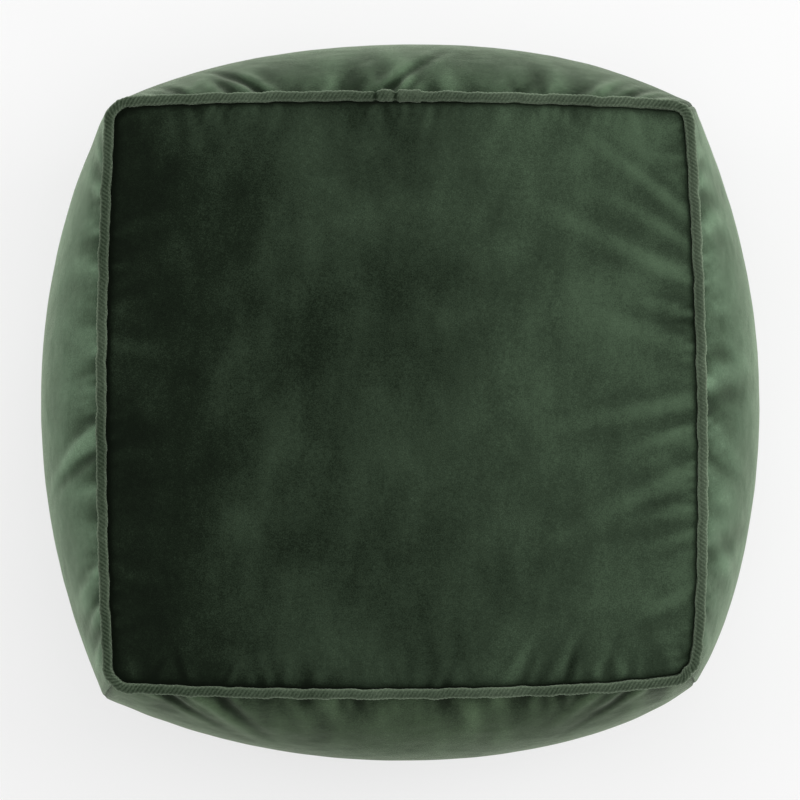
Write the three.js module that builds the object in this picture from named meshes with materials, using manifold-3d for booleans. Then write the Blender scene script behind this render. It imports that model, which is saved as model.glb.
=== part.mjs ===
// A boxed floor cushion: a velvet cover of a top panel, four side panels and a base in two halves,
// joined by a zip, with a corded piping in the top and base seams, over a calico inner bag of filling.
// Millimetres, +Z up, the origin on the floor under the middle, the front towards -Y.
import * as THREE from 'three'
import { mergeVertices } from 'three/addons/utils/BufferGeometryUtils.js'
import Module from 'manifold-3d'

const wasm = await Module()
wasm.setup()

// ---------- Driving dimensions ----------

// The cover's outline.
const height = 300 // floor to the top of the crown
const ringHalf = 218 // from the middle to the piping's centre line, beside a corner
const ringBow = 7 // how much further out the piping is half way along a side
const ringCorner = 14 // radius of the piping's centre line at a corner, in plan
const ringLift = 8 // how much the top piping rises towards its corners
const crown = 18 // rise of the top panel over its seam
const cornerBulge = 15 // how far a corner seam stands out at its middle
const sideBulge = 50 // how much further the middle of a side stands out
const sideSag = 8 // how far the weight lets the fullest line drop
const sideTurn = THREE.MathUtils.degToRad(55) // lean of a side panel where it leaves its seam
const cornerSeamRadius = 2 // plan radius of a corner seam at its middle

// Cloth.
const velvet = 1.2
const strip = 0.8 // the thinner cloth that covers the piping cord
const calico = 1
const allowance = 10 // cloth turned in beyond a seam
const gap = 0.4 // between pieces that lie against each other
const beadClearance = 1.2 // between the covered cord and the panels beside it
const cordRadius = 2.4
const beadRadius = 4 // outside of the covered cord

// The base, its groove for the zip, and the inner bag.
const rimWidth = 25 // the base panel comes down to the floor over this width
const grooveFloor = 8 // half width of the groove at its deepest
const grooveEdge = 40 // half width of the groove at the floor
const bagClearance = 3.25 // between the panels and the bag
const bagEdgeRoom = 5 // between a seam's turned-in edge and the bag's rounded edge
const bagCorner = 40 // plan radius of the bag's corners
const fillingClearance = 3

// Zip.
const zipMargin = 38 // from the end of the zip's coil to the piping's centre line
const zipFloor = 0.2 // between the slider and the floor
const zipOpening = 6 // from the zip's middle line to the folded edge of the base panel
const tapeWidth = 12
const tapeThick = 0.6
const tapeOverrun = 8 // tape beyond the coil at each end
const coilInner = 1.1 // from the middle line to the near side of a coil
const coilWidth = 2.2
const coilHeight = 2
const stopLength = 3
const sliderLength = 12
const sliderWidth = 10
const sliderPlate = 1.2
const sliderWeb = 1.4
const bridgeWidth = 2
const bridgeWall = 1.2
const bridgeHole = 4.4 // length of the hole that the pull hangs in
const pullThick = 1
const pullLength = 24
const pullWidth = 8
const pullWindow = 3.4
const pullNeck = 6 // from the pivot to where the pull widens
const labelLength = 26
const labelWidth = 25
const labelThick = 0.3
const labelPlace = 100 // from the middle to the label's near edge, along the zip

const steps = 12 // facets along one side of the cushion
const rows = 8 // facets up one side panel

// ---------- Colours ----------

const cloth = (color, roughness = 0.9) => new THREE.MeshStandardMaterial({ color, roughness, metalness: 0 })
const metal = (color) => new THREE.MeshStandardMaterial({ color, roughness: 0.35, metalness: 1 })
const velvetGreen = 0x2c3d2c
const pipingGreen = 0x34462f
const tapeGreen = 0x26342a
const coilGreen = 0x1f2b23
const calicoWhite = 0xded8c8
const cordWhite = 0xe8e4da
const fillingWhite = 0xf1efe9
const labelWhite = 0xf4f2ec
const zipMetal = 0x8c8a82

// ---------- The cushion's form ----------

const mix = (a, b, share) => a + (b - a) * share
const clamp = THREE.MathUtils.clamp

// Nodes from -1 to 1 along a side, close together at the corners.
const nodes = Array.from({ length: steps + 1 }, (_, i) => Math.sin((i / steps - 0.5) * Math.PI))
const heights = Array.from({ length: rows + 1 }, (_, i) => {
  const turn = mix(-sideTurn, sideTurn, i / rows)
  return (1 + Math.sin(turn) / Math.sin(sideTurn)) / 2
})

// Plan position of the unit square's point x, y on an outline with bowed sides and round corners.
function outline(x, y, half, bow, radius) {
  let [X, Y] = [x * (half + bow * (1 - y * y)), y * (half + bow * (1 - x * x))]
  const [a, b] = [Math.abs(X) - half + radius, Math.abs(Y) - half + radius]
  if (a > 0 && b > 0) {
    const pull = Math.max(a, b) / Math.hypot(a, b)
    X = Math.sign(X) * (half - radius + a * pull)
    Y = Math.sign(Y) * (half - radius + b * pull)
  }
  return [X, Y]
}

// How full the side is at a share of its height: 0 at the seams, 1 half way up, along an arc.
function fullness(share) {
  const turn = Math.asin((2 * share - 1) * Math.sin(sideTurn))
  return (Math.cos(turn) - Math.cos(sideTurn)) / (1 - Math.cos(sideTurn))
}

const lift = (x, y) => ringLift * (x * y) ** 2
const crownAt = (x, y) => crown * (1 - Math.abs(x) ** 2.6) * (1 - Math.abs(y) ** 2.6)

// A seam's section: `along` runs from the cord's centre into the cushion between the two panels, and
// `across` from the side panel towards the top or base panel. They lie at 45 degrees to the floor.
const flangeNear = gap / 2
const flangeFar = flangeNear + strip
const turnNear = flangeFar + gap
const turnFar = turnNear + velvet
const seamAlong = Math.sqrt((beadRadius + beadClearance) ** 2 - turnNear ** 2)
const mitre = velvet * (1 + Math.SQRT2)
const endAlong = seamAlong + allowance
const outward = (along, across) => -(along + across) * Math.SQRT1_2
const upward = (along, across) => (across - along) * Math.SQRT1_2

const panelInset = -outward(seamAlong, turnNear) // of the top and base panels' edges
const panelDrop = -upward(seamAlong, turnNear)
const topRing = height - crown + panelDrop // height of the top piping's centre line
const baseRing = beadRadius + gap
const sideInset = panelDrop // the side panels mirror the top panel about the seam
const sideDrop = panelInset

// The bag's edges are round enough to pass inside the turned-in seams.
const bagInset = sideInset + velvet + bagClearance
const bagEdge = (endAlong + bagEdgeRoom - Math.SQRT2 * bagInset) / (Math.SQRT2 - 1)

// The zip's heights, built up from the floor, which set how deep its groove is.
const bridgeLow = zipFloor
const bridgeTop = bridgeLow + sliderPlate
const pullRadius = (pullThick / 2) * Math.SQRT2
const pivotZ = bridgeTop + pullRadius + gap / 2
const plateLow = pivotZ + pullRadius + gap / 2
const plateHigh = plateLow + sliderPlate
const coilLow = plateHigh + gap
const coilHigh = coilLow + coilHeight
const tapeLow = coilHigh + gap
const tapeHigh = tapeLow + tapeThick
const topPlateLow = tapeHigh + gap
const grooveDepth = tapeLow - gap - velvet

// The base's height: 0 where it stands on the floor, more at its rim and along the zip's groove.
const grooveAt = (Y) => grooveDepth * clamp((grooveEdge - Math.abs(Y)) / (grooveEdge - grooveFloor), 0, 1)
function settled(x, y) {
  const share = clamp(((1 - Math.max(Math.abs(x), Math.abs(y))) * ringHalf) / rimWidth, 0, 1)
  return share * share * (3 - 2 * share)
}
const baseAt = (x, y) => mix(baseRing + panelDrop, grooveAt(y * ringHalf), settled(x, y))

// A point of the seam's section, carried round the ring to the outline's point x, y. At a corner
// the section turns with the ring about the centre of its arc.
function ringPoint(x, y, along, across, isTop) {
  const [X, Y] = outline(x, y, ringHalf, ringBow, ringCorner)
  const [a, b] = [Math.abs(X) - ringHalf + ringCorner, Math.abs(Y) - ringHalf + ringCorner]
  const atCorner = a > 0 && b > 0
  const [nx, ny] = atCorner ? [a / Math.hypot(a, b), b / Math.hypot(a, b)] : [a > b ? 1 : 0, a > b ? 0 : 1]
  const out = outward(along, across)
  const up = upward(along, across)
  return [
    X + Math.sign(X) * nx * out,
    Y + Math.sign(Y) * ny * out,
    isTop ? topRing + lift(x, y) + up : baseRing - up,
  ]
}

// A point of the rounded bag: x, y and h run from -1 to 1 over a cube, and `inset` is its depth
// inside the piping's centre line. Its sides bulge between their rounded edges.
function bagPoint(x, y, h, inset) {
  const full = fullness((1 + h) / 2)
  const half = ringHalf - inset
  const rise = (topRing - baseRing) / 2 - inset
  const edge = bagEdge + bagInset - inset
  const reach = Math.max(Math.abs(x), Math.abs(y))
  const [a, b] = [reach * half - half + edge, Math.abs(h) * rise - rise + edge]
  if (a > 0 && b > 0) {
    const pull = Math.max(a, b) / Math.hypot(a, b)
    const share = (half - edge + a * pull) / (reach * half)
    x *= share
    y *= share
    h *= (rise - edge + b * pull) / (Math.abs(h) * rise)
  }
  const share = (1 + h) / 2
  const radius = bagCorner + bagInset - inset
  const [X, Y] = outline(x, y, half + cornerBulge * full, ringBow + sideBulge * full, radius)
  const low = baseRing + inset - (baseRing + panelDrop - baseAt(x, y)) * (1 - share)
  const high = topRing + lift(x, y) - inset + crownAt(x, y) * share
  return [X, Y, mix(low, high, share) - sideSag * full]
}

// Once round the seams from the middle of the back, anticlockwise, with a small opening at the ends.
function perimeter(step) {
  const from = step + steps / 2
  const opening = (step === 0 ? gap / 2 : step === 4 * steps ? -gap / 2 : 0) / ringHalf
  const t = nodes[from % steps] + opening
  return [[-t, 1], [-1, -t], [t, -1], [1, t]][Math.floor(from / steps) % 4]
}

// ---------- Tools ----------

// Moves each vertex of a geometry to place(x, y, z), and drops triangles that shrink to nothing.
function bend(geometry, place) {
  geometry.deleteAttribute('normal')
  geometry.deleteAttribute('uv')
  const position = geometry.attributes.position
  for (let i = 0; i < position.count; i++) {
    position.setXYZ(i, ...place(position.getX(i), position.getY(i), position.getZ(i)))
  }
  const bent = mergeVertices(geometry, 1e-3)
  const index = [...bent.index.array]
  const kept = []
  for (let i = 0; i < index.length; i += 3) {
    const [a, b, c] = index.slice(i, i + 3)
    if (a !== b && b !== c && c !== a) kept.push(a, b, c)
  }
  bent.setIndex(kept)
  return bent
}

// A sheet of cloth: a grid over the nodes xs and ys, from its inner face (0) to its outer face (1).
// The inner face's cells are cut along the same diagonals as the outer face's, so a twisted cell keeps its wall.
function sheet(xs, ys, place) {
  const [across, up] = [xs.length - 1, ys.length - 1]
  const grid = new THREE.BoxGeometry(across, up, 1, across, up, 1)
  grid.translate(across / 2, up / 2, 0.5)
  const cells = grid.index.array
  for (let i = cells.length - 6 * across * up; i < cells.length; i += 6) {
    const [a, b, d, , c] = cells.slice(i, i + 6)
    cells.set([a, b, c, a, c, d], i)
  }
  return bend(grid, (i, j, face) => place(xs[Math.round(i)], ys[Math.round(j)], Math.round(face)))
}

// A section in a seam's own coordinates, carried round the top or base ring.
function ringSweep(section, isTop) {
  const shape = new THREE.Shape(section.map(([along, across]) => new THREE.Vector2(along, across)))
  const long = new THREE.ExtrudeGeometry(shape, { depth: 4 * steps, steps: 4 * steps, bevelEnabled: false })
  return bend(long, (along, across, step) => {
    const [x, y] = perimeter(Math.round(isTop ? step : 4 * steps - step))
    return ringPoint(x, y, along, across, isTop)
  })
}

function box(low, high) {
  const size = high.map((value, i) => value - low[i])
  const middle = high.map((value, i) => (value + low[i]) / 2)
  return new THREE.BoxGeometry(...size).translate(...middle)
}

// Joins closed geometries into one solid.
function joined(...geometries) {
  const solids = geometries.map((geometry) => {
    const plain = bend(geometry, (x, y, z) => [x, y, z])
    const vertProperties = new Float32Array(plain.attributes.position.array)
    return new wasm.Manifold(new wasm.Mesh({ numProp: 3, vertProperties, triVerts: new Uint32Array(plain.index.array) }))
  })
  const mesh = solids.reduce((whole, solid) => whole.add(solid)).getMesh()
  const geometry = new THREE.BufferGeometry()
  geometry.setAttribute('position', new THREE.BufferAttribute(new Float32Array(mesh.vertProperties), 3))
  geometry.setIndex([...mesh.triVerts])
  return geometry
}

const cushion = new THREE.Group()
function add(name, geometry, material, turn = 0) {
  const mesh = new THREE.Mesh(geometry, material)
  mesh.name = name
  mesh.rotation.z = turn
  cushion.add(mesh)
}

// ---------- Top panel ----------
// Its edge is turned down along the seam, so the grid has one more row of nodes outside each side.

const beyond = 2 // marks the nodes of a turned-in edge
const withTurns = (list) => [-beyond, ...list, beyond]

// The far edge and the bend of a turned-in allowance, on the outer (1) or inner (0) face.
const turnAcross = (face) => (face ? turnNear : turnFar)
const bendAlong = (face) => seamAlong + (face ? 0 : mitre)

function topPanelPoint(x, y, face) {
  const [cx, cy] = [clamp(x, -1, 1), clamp(y, -1, 1)]
  if (Math.max(Math.abs(x), Math.abs(y)) > 1) return ringPoint(cx, cy, endAlong, turnAcross(face), true)
  if (Math.max(Math.abs(x), Math.abs(y)) === 1) return ringPoint(x, y, bendAlong(face), turnAcross(face), true)
  const [X, Y] = outline(x, y, ringHalf - panelInset, ringBow, ringCorner - panelInset)
  return [X, Y, topRing - panelDrop + lift(x, y) + crownAt(x, y) - (face ? 0 : velvet)]
}
add('top_panel', sheet(withTurns(nodes), withTurns(nodes), topPanelPoint), cloth(velvetGreen))

// ---------- Side panels ----------
// Four alike, meeting at the corner seams, with their top and base edges turned in.

function sidePanelPoint(t, share, face) {
  let point
  if (share < 0 || share > 1) {
    point = ringPoint(t, -1, endAlong, -turnAcross(face), share > 1)
  } else if (share === 0 || share === 1) {
    point = ringPoint(t, -1, bendAlong(face), -turnAcross(face), share === 1)
  } else {
    const full = fullness(share)
    const inset = sideInset + (face ? 0 : velvet)
    const radius = mix(ringCorner, cornerSeamRadius, full)
    const half = ringHalf - inset + cornerBulge * full
    const [X, Y] = outline(t, -1, half, ringBow + sideBulge * full, radius)
    const high = topRing + lift(t, -1) - sideDrop
    point = [X, Y, mix(baseRing + sideDrop, high, share) - sideSag * full]
  }
  const short = Math.abs(t) === 1 ? (gap / 2) * Math.SQRT1_2 : 0 // leaves the corner seam open
  return [point[0] - t * short, point[1] - short, point[2]]
}
const sidePanel = () => sheet(nodes, [-1, ...heights, beyond], sidePanelPoint)
;['front', 'right', 'back', 'left'].forEach((side, i) => {
  add(`side_panel_${side}`, sidePanel(), cloth(velvetGreen), (i * Math.PI) / 2)
})

// ---------- Base panels ----------
// Two halves, folded at the zip and seamed edge to edge beyond its ends.

const zipHalf = ringHalf - zipMargin
const zipEnd = zipHalf + stopLength + gap
const seamStart = zipEnd + tapeOverrun
const inUnits = (length) => length / (ringHalf - panelInset + ringBow)
const baseXs = withTurns([...nodes.filter((x) => Math.abs(x) * ringHalf < zipEnd - rimWidth / 2), -1, 1]
  .concat([zipEnd, seamStart].flatMap((x) => [-inUnits(x), inUnits(x)]))
  .concat(nodes.filter((x) => Math.abs(x) * ringHalf > seamStart && Math.abs(x) < 1))
  .sort((a, b) => a - b))
const baseYs = [-beyond, ...nodes.filter((y) => -y * ringHalf > grooveEdge)]
  .concat([-inUnits(grooveEdge), -inUnits(grooveFloor), 0])

function basePanelPoint(flipped, y, face) {
  const x = -flipped
  const [cx, cy] = [clamp(x, -1, 1), clamp(y, -1, 1)]
  let point
  if (Math.max(Math.abs(x), Math.abs(y)) > 1) {
    point = ringPoint(cx, cy, endAlong, turnAcross(face), false)
  } else if (Math.max(Math.abs(x), Math.abs(y)) === 1) {
    point = ringPoint(x, y, bendAlong(face), turnAcross(face), false)
  } else {
    const [X, Y] = outline(x, y, ringHalf - panelInset, ringBow, ringCorner - panelInset)
    point = [X, Y, baseAt(x, y) + (face ? 0 : velvet)]
  }
  if (y === 0) point[1] = Math.abs(point[0]) < zipEnd + gap ? -zipOpening : -gap / 2
  return point
}
const basePanel = () => sheet(baseXs, baseYs, basePanelPoint)
add('base_panel_front', basePanel(), cloth(velvetGreen))
add('base_panel_back', basePanel(), cloth(velvetGreen), Math.PI)

// ---------- Piping ----------
// A bias strip wrapped round a cord, its two edges caught in the seam. Both butt at the back.

function arc(radius, near, facets) {
  const start = Math.asin(near / radius)
  return Array.from({ length: facets + 1 }, (_, i) => {
    const angle = mix(start, 2 * Math.PI - start, i / facets)
    return [radius * Math.cos(angle), radius * Math.sin(angle)]
  })
}
const beadFacets = 7
const stripSection = [
  [endAlong, flangeFar],
  ...arc(beadRadius, flangeFar, beadFacets),
  [endAlong, -flangeFar],
  [endAlong, -flangeNear],
  ...arc(beadRadius - strip, flangeNear, beadFacets).reverse(),
  [endAlong, flangeNear],
]
const cordFacets = 6
const cordSection = arc(cordRadius, 0, cordFacets).slice(0, cordFacets)
for (const [level, isTop] of [['top', true], ['base', false]]) {
  add(`${level}_piping_cover`, ringSweep(stripSection, isTop), cloth(pipingGreen))
  add(`${level}_piping_cord`, ringSweep(cordSection, isTop), cloth(cordWhite))
}

// ---------- Zip ----------
// Closed at the +X end. Upwards from the floor: bridge, pull, slider plate, coils, tapes, slider plate.

const coilOuter = coilInner + coilWidth
const tapeInner = coilInner + gap

for (const [side, sign] of [['front', -1], ['back', 1]]) {
  const turn = sign < 0 ? Math.PI : 0
  const tapeHalf = zipHalf + tapeOverrun
  const tape = box([-tapeHalf, tapeInner, tapeLow], [tapeHalf, tapeInner + tapeWidth, tapeHigh])
  add(`zip_tape_${side}`, tape, cloth(tapeGreen), turn)
  const coil = box([-zipHalf, coilInner, coilLow], [zipHalf, coilOuter, coilHigh])
  add(`zip_coil_${side}`, coil, cloth(coilGreen, 0.5), turn)
  const near = sign * coilInner
  const far = sign * (coilOuter + gap)
  const stop = box(
    [zipHalf + gap, Math.min(near, far), coilLow],
    [zipHalf + gap + stopLength, Math.max(near, far), coilHigh],
  )
  add(`zip_top_stop_${side}`, stop, metal(zipMetal))
}
const bottomStop = box(
  [-zipHalf - gap - stopLength, -coilOuter, coilLow],
  [-zipHalf - gap, coilOuter, coilHigh],
)
add('zip_bottom_stop', bottomStop, metal(zipMetal))

// The slider: two plates and a web between the coils, with a bridge below that carries the pull.
const sliderX = zipHalf - sliderLength / 2
const [plateStart, plateEnd] = [sliderX - sliderLength / 2, sliderX + sliderLength / 2]
const bridgeHalf = bridgeHole / 2 + bridgeWall
const leg = (from) => box(
  [sliderX + from, -bridgeWidth / 2, bridgeLow],
  [sliderX + from + bridgeWall, bridgeWidth / 2, plateLow + sliderPlate / 2],
)
const slider = joined(
  box([plateStart, -sliderWidth / 2, plateLow], [plateEnd, sliderWidth / 2, plateHigh]),
  box([plateStart, -sliderWidth / 2, topPlateLow], [plateEnd, sliderWidth / 2, topPlateLow + sliderPlate]),
  box([plateStart, -sliderWeb / 2, plateLow], [plateEnd, sliderWeb / 2, topPlateLow + sliderPlate]),
  leg(-bridgeHalf),
  leg(bridgeHalf - bridgeWall),
  box([sliderX - bridgeHalf, -bridgeWidth / 2, bridgeLow], [sliderX + bridgeHalf, bridgeWidth / 2, bridgeTop]),
)
add('zip_slider', slider, metal(zipMetal))

// The pull: a flat plate with a window that the bridge passes through. It points away from +X.
function pullShape() {
  const half = pullThick / 2
  const [neck, wide] = [pullWindow / 2 + bridgeWall, pullWidth / 2]
  const plate = new THREE.Shape()
  plate.moveTo(half, -neck)
  plate.lineTo(half, neck)
  plate.lineTo(-pullNeck, neck)
  plate.lineTo(-pullNeck - 2, wide)
  plate.lineTo(wide - pullLength, wide)
  plate.absarc(wide - pullLength, 0, wide, Math.PI / 2, (3 * Math.PI) / 2, false)
  plate.lineTo(-pullNeck - 2, -wide)
  plate.lineTo(-pullNeck, -neck)
  plate.closePath()
  const window = new THREE.Path()
  window.moveTo(-half, -pullWindow / 2)
  window.lineTo(-pullNeck, -pullWindow / 2)
  window.lineTo(-pullNeck, pullWindow / 2)
  window.lineTo(-half, pullWindow / 2)
  window.closePath()
  plate.holes.push(window)
  return plate
}
const pull = new THREE.ExtrudeGeometry(pullShape(), { depth: pullThick, bevelEnabled: false, curveSegments: 6 })
add('zip_pull', pull.translate(sliderX, 0, pivotZ - pullThick / 2), metal(zipMetal))

// ---------- Care label ----------
// A blank woven label, caught by one edge beside the zip and lying along the groove's slope.

const labelYs = [zipOpening + gap, grooveFloor, labelLength + zipOpening]
const labelPoint = (x, y, face) => [x, y, grooveAt(y) - gap - (face ? 0 : labelThick)]
const labelXs = [labelPlace, labelPlace + labelWidth]
add('care_label', sheet(labelXs, labelYs, labelPoint), cloth(labelWhite, 0.7))

// ---------- Inner bag and filling ----------

const bagNodes = [...nodes, -inUnits(grooveEdge), inUnits(grooveEdge), -inUnits(grooveFloor + 2)]
  .concat([inUnits(grooveFloor + 2)])
  .filter((y) => y !== nodes[steps / 2])
  .sort((a, b) => a - b)
const bagDepth = (face) => bagInset + (face ? 0 : calico)
add('liner_top', sheet(nodes, nodes, (x, y, face) => bagPoint(x, y, 1, bagDepth(face))), cloth(calicoWhite))
add('liner_base', sheet(nodes, bagNodes, (x, y, face) => bagPoint(-x, y, -1, bagDepth(face))), cloth(calicoWhite))

const boxingEdge = 1 - (4 * gap) / (topRing - baseRing)
const boxingHeights = [-boxingEdge, -0.86, -0.6, -0.2, 0.2, 0.6, 0.86, boxingEdge]
const boxingSteps = Array.from({ length: 4 * steps + 1 }, (_, i) => i)
add('liner_boxing', sheet(boxingSteps, boxingHeights, (step, h, face) => {
  const [x, y] = perimeter(step)
  return bagPoint(x, y, h, bagDepth(face))
}), cloth(calicoWhite))

const fillingHeights = [-1, -0.86, -0.6, -0.2, 0.2, 0.6, 0.86, 1]
const fillingCube = new THREE.BoxGeometry(
  steps, steps, fillingHeights.length - 1,
  steps, steps, fillingHeights.length - 1,
).translate(steps / 2, steps / 2, (fillingHeights.length - 1) / 2)
const filling = bend(fillingCube, (i, j, k) => bagPoint(
  nodes[Math.round(i)],
  nodes[Math.round(j)],
  fillingHeights[Math.round(k)],
  bagInset + calico + fillingClearance,
))
add('filling', filling, cloth(fillingWhite, 1))

export default cushion
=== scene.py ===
"""A boxed velvet floor cushion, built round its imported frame. Metres, +Z up, front towards -Y."""

import math

import bmesh
import bpy
import numpy as np
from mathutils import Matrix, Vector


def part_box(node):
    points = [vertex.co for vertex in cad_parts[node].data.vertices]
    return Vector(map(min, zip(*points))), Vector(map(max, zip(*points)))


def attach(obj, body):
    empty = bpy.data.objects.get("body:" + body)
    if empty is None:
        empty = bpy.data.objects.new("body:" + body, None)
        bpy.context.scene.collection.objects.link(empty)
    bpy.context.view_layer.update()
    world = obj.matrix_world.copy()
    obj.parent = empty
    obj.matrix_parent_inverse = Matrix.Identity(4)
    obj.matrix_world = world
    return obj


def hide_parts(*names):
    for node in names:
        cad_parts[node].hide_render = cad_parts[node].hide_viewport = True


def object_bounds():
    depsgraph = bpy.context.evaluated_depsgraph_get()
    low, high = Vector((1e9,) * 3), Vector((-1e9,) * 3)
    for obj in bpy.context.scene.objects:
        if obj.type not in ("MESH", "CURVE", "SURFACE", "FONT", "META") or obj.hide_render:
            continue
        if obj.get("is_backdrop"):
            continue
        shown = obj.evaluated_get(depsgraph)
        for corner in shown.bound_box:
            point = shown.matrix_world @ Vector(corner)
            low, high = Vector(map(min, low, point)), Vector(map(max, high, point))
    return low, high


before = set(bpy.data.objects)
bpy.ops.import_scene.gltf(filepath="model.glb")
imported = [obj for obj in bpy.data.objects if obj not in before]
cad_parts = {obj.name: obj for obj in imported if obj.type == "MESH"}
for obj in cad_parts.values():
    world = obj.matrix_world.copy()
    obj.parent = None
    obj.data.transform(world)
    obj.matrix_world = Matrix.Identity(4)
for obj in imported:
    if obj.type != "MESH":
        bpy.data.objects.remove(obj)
frame_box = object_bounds()

# ---------------------------------------------------------------------------------------------
# The studio. The cushion stands on a pale floor and is looked down on from almost straight above,
# under a broad soft light, with a lamp on each side of it, the strongest at the right.

MM = 0.001
CAMERA_DISTANCE = 2.53  # from the middle of the cushion
CAMERA_ELEVATION = math.radians(87.7)
CAMERA_AIM = (0.0007, 0.0015, 0.15)
CAMERA_LENS, SKY_STRENGTH = 143.0, 0.43

camera = bpy.data.objects.new("camera", bpy.data.cameras.new("camera"))
bpy.context.scene.collection.objects.link(camera)
camera.data.lens = CAMERA_LENS
camera.location = (
    CAMERA_AIM[0],
    CAMERA_AIM[1] - CAMERA_DISTANCE * math.cos(CAMERA_ELEVATION),
    CAMERA_AIM[2] + CAMERA_DISTANCE * math.sin(CAMERA_ELEVATION),
)
camera.rotation_euler = (math.pi / 2 - CAMERA_ELEVATION, 0.0, 0.0)
bpy.context.scene.camera = camera
bpy.context.scene.view_settings.view_transform = "Standard"

for name, place, size, power in [
    ("overhead_light", (0.4, 0.3, 3.4), 2.8, 42.0),
    ("right_light", (2.4, 0.5, 1.2), 1.8, 46.0),
    ("left_light", (-2.4, 0.3, 1.0), 1.6, 24.0),
    ("back_light", (0.2, 2.6, 1.2), 1.6, 20.0),
    ("front_light", (-0.2, -2.6, 1.0), 1.6, 10.0),
]:
    light = bpy.data.objects.new(name, bpy.data.lights.new(name, "AREA"))
    bpy.context.scene.collection.objects.link(light)
    light.data.size = size
    light.data.energy = power
    light.location = place
    tilt = math.atan2(math.hypot(place[0], place[1]), place[2] - CAMERA_AIM[2])
    light.rotation_euler = (tilt, 0.0, math.atan2(place[1], place[0]) + math.pi / 2)

world = bpy.data.worlds.new("studio")
world.use_nodes = True
world.node_tree.nodes["Background"].inputs["Color"].default_value = (1.0, 1.0, 1.0, 1.0)
world.node_tree.nodes["Background"].inputs["Strength"].default_value = SKY_STRENGTH
bpy.context.scene.world = world


class Wire:
    """A value that varies over a surface. Sums, differences and products of it are Math nodes."""

    def __init__(self, finish, socket):
        self.finish, self.socket = finish, socket

    def math(self, operation, *others):
        """A Math node on this value and the others, in order."""
        values = {str(i): v for i, v in enumerate((self, *others))}
        return self.finish.add("Math", {"operation": operation}, values)

    def __add__(self, other):
        return self.math("ADD", other)

    def __sub__(self, other):
        return self.math("SUBTRACT", other)

    def __mul__(self, other):
        return self.math("MULTIPLY", other)

    def __rsub__(self, other):
        return (self * -1.0) + other

    __radd__, __rmul__ = __add__, __mul__


class Finish:
    """A material under construction."""

    def __init__(self, name):
        self.material = bpy.data.materials.new(name)
        self.material.use_nodes = True
        self.tree = self.material.node_tree
        self.shader = self.tree.nodes["Principled BSDF"]

    def put(self, node, values):
        """Sets or links a node's sockets, known by number, name or identifier."""
        for key, value in values.items():
            named = [s for s in node.inputs if key in (s.name, s.identifier)]
            socket = node.inputs[int(key)] if key.isdigit() else named[0]
            if isinstance(value, Wire):
                self.tree.links.new(value.socket, socket)
            else:
                socket.default_value = value

    def add(self, kind, settings=None, values=None, out=0):
        """A new node's output: settings, such as a ramp's stops, come first, then its sockets."""
        node = self.tree.nodes.new("ShaderNode" + kind)
        for key, value in (settings or {}).items():
            if key == "stops":
                ramp = node.color_ramp.elements
                while len(ramp) < len(value):
                    ramp.new(0.5)
                for stop, (place, colour) in zip(ramp, value):
                    stop.position, stop.color = place, (*colour, 1.0)
            else:
                setattr(node, key, value)
        self.put(node, values or {})
        return Wire(self, node.outputs[out])

    def place(self):
        """The place on the piece, in metres from the frame's origin."""
        return self.add("TexCoord", out=3)

    def noise(self, scale, detail=2.0, roughness=0.5, stretch=(1.0, 1.0, 1.0)):
        """Smooth noise from 0 to 1 with features about 1 / scale metres across."""
        place = self.add("Mapping", {}, {"Vector": self.place(), "Scale": stretch})
        values = {"Vector": place, "Scale": scale, "Detail": detail, "Roughness": roughness}
        return self.add("TexNoise", {}, values)

    def ramp(self, value, *stops):
        """The colour at a value between stops, each a value and its colour."""
        return self.add("ValToRGB", {"stops": stops}, {"Fac": value})

    def bump(self, height, distance, strength=1.0, under=None):
        """A surface raised by height times distance, on top of another bump where one is given."""
        values = {"Height": height, "Distance": distance, "Strength": strength}
        return self.add("Bump", {}, values | ({"Normal": under} if under else {}))

    def surface(self, **values):
        """Sets or links the shader's own sockets, and gives the finished material."""
        self.put(self.shader, {key.replace("_", " "): value for key, value in values.items()})
        return self.material


MIDDLE = np.array([0.0, 0.0, 0.15])  # of the cushion
CREASE = math.radians(48)  # sharper bends than this are shaded as edges


def skin(name, points, material, body="cushion", wrap=(False, False), capped=False):
    """A piece from a grid of points, rows by columns, with a face for every cell. A wrapped
    direction's last line joins its first; capped closes a tube's ends. The faces are turned so that
    the volume between them and the cushion's middle is positive. A fourth column of the points is
    their painted shading: how much lighter or darker their colour is painted, for shade and sheen."""
    rows, columns = points.shape[:2]
    i, j = np.meshgrid(
        np.arange(rows - 1 + wrap[0]), np.arange(columns - 1 + wrap[1]), indexing="ij"
    )
    k, m = (i + 1) % rows, (j + 1) % columns
    faces = np.stack([i * columns + j, i * columns + m, k * columns + m, k * columns + j], -1)
    faces = faces.reshape(-1, 4)
    flat = points[..., :3].reshape(-1, 3)
    a, b, c, d = (flat[faces[:, n]] - MIDDLE for n in range(4))
    turn = 1 if (np.cross(a - c, b - d) * (a + b + c + d)).sum() > 0 else -1
    faces = faces[:, ::turn].tolist()
    if capped:
        first, last = list(range(columns)), list(range((rows - 1) * columns, rows * columns))
        faces += [first[::-turn], last[::turn]]
    mesh = bpy.data.meshes.new(name)
    mesh.from_pydata(flat, [], faces)
    # The painted shading rides on the points: light and shade painted into the colour.
    if points.shape[2] == 4:
        shading_layer = mesh.attributes.new("nap", "FLOAT", "POINT")
        shading_layer.data.foreach_set("value", points[..., 3].astype(np.float32).ravel())
    whole = bmesh.new()
    whole.from_mesh(mesh)
    bmesh.ops.remove_doubles(whole, verts=whole.verts, dist=1e-6)
    whole.to_mesh(mesh)
    whole.free()
    mesh.shade_smooth()
    mesh.set_sharp_from_angle(angle=CREASE)
    mesh.materials.append(material)
    piece = bpy.data.objects.new(name, mesh)
    bpy.context.scene.collection.objects.link(piece)
    if body:
        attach(piece, body)
    return piece


FLOOR_REACH = 12.0
FLOOR_GLOW = 0.64  # it is lit mostly from within, which keeps the shadows light

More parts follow.
